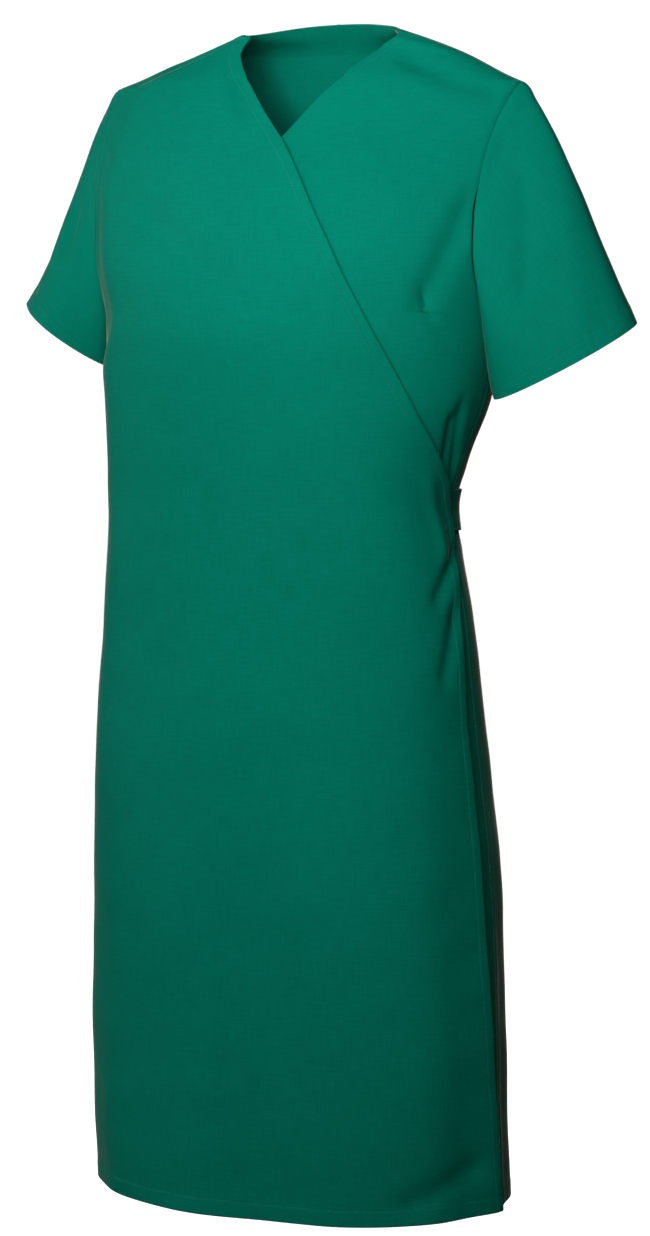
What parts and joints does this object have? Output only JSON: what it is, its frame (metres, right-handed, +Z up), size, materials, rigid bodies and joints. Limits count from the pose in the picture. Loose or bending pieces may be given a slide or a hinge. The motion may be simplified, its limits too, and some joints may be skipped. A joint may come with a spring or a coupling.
{
  "type": "patient gown",
  "caption": "Wrap-over patient gown with short sleeves and a V neck, tied round the waist; it covers the trunk from shoulders to knees.",
  "frame": {"origin": "on the hanger seat, midway between the two neck points", "axes": "+Z up, -Y to the gown's front, +X to the wearer's left"},
  "size_m": [0.602, 0.2723, 1.0751],
  "materials": {
    "cloth": "matte plain-weave polycotton, teal green",
    "facing": "matte, inner layer of the same cloth",
    "tie": "matte, folded and edge-stitched band of the same cloth",
    "thread": "satin sewing thread",
    "label": "blank woven label"
  },
  "bodies": {
    "gown": {"front_right_panel": "cloth", "front_left_panel": "cloth", "back_panel": "cloth", "back_neck_facing": "facing", "front_right_facing": "facing", "front_left_facing": "facing", "front_right_hem": "facing", "front_left_hem": "facing", "back_hem": "facing", "outer_tie_band": "tie", "inner_tie_band": "tie", "bow_knot": "tie", "bow_loop_right": "tie", "bow_loop_left": "tie", "seam_slit_patch": "facing", "tie_bartacks": "thread", "care_label": "label"},
    "wrap_flap": {"front_right_flap": "cloth", "flap_hem": "facing", "flap_edge_hem": "facing"},
    "right_sleeve": {"sleeve_right": "cloth", "sleeve_right_hem": "facing"},
    "left_sleeve": {"sleeve_left": "cloth", "sleeve_left_hem": "facing"},
    "right_tie_end": {"tie_tail_right": "tie"},
    "left_tie_end": {"tie_tail_left": "tie"}
  },
  "joints": [
    {"name": "wrap_opens", "type": "hinge", "parent": "gown", "child": "wrap_flap", "pos_m": [0.0789, -0.098, -0.4697], "axis": [0.0438, -0.0492, -0.9978], "range_deg": [0, 30]},
    {"name": "right_sleeve_lifts", "type": "hinge", "parent": "gown", "child": "right_sleeve", "pos_m": [-0.201, 0, -0.045], "axis": [0, 1, 0], "range_deg": [0, 20]},
    {"name": "left_sleeve_lifts", "type": "hinge", "parent": "gown", "child": "left_sleeve", "pos_m": [0.206, 0, -0.045], "axis": [0, -1, 0], "range_deg": [0, 20]},
    {"name": "right_tie_end_swings", "type": "hinge", "parent": "gown", "child": "right_tie_end", "pos_m": [0, 0.094, -0.433], "axis": [1, 0, 0], "range_deg": [0, 60]},
    {"name": "left_tie_end_swings", "type": "hinge", "parent": "gown", "child": "left_tie_end", "pos_m": [0, 0.094, -0.433], "axis": [1, 0, 0], "range_deg": [0, 60]}
  ]
}
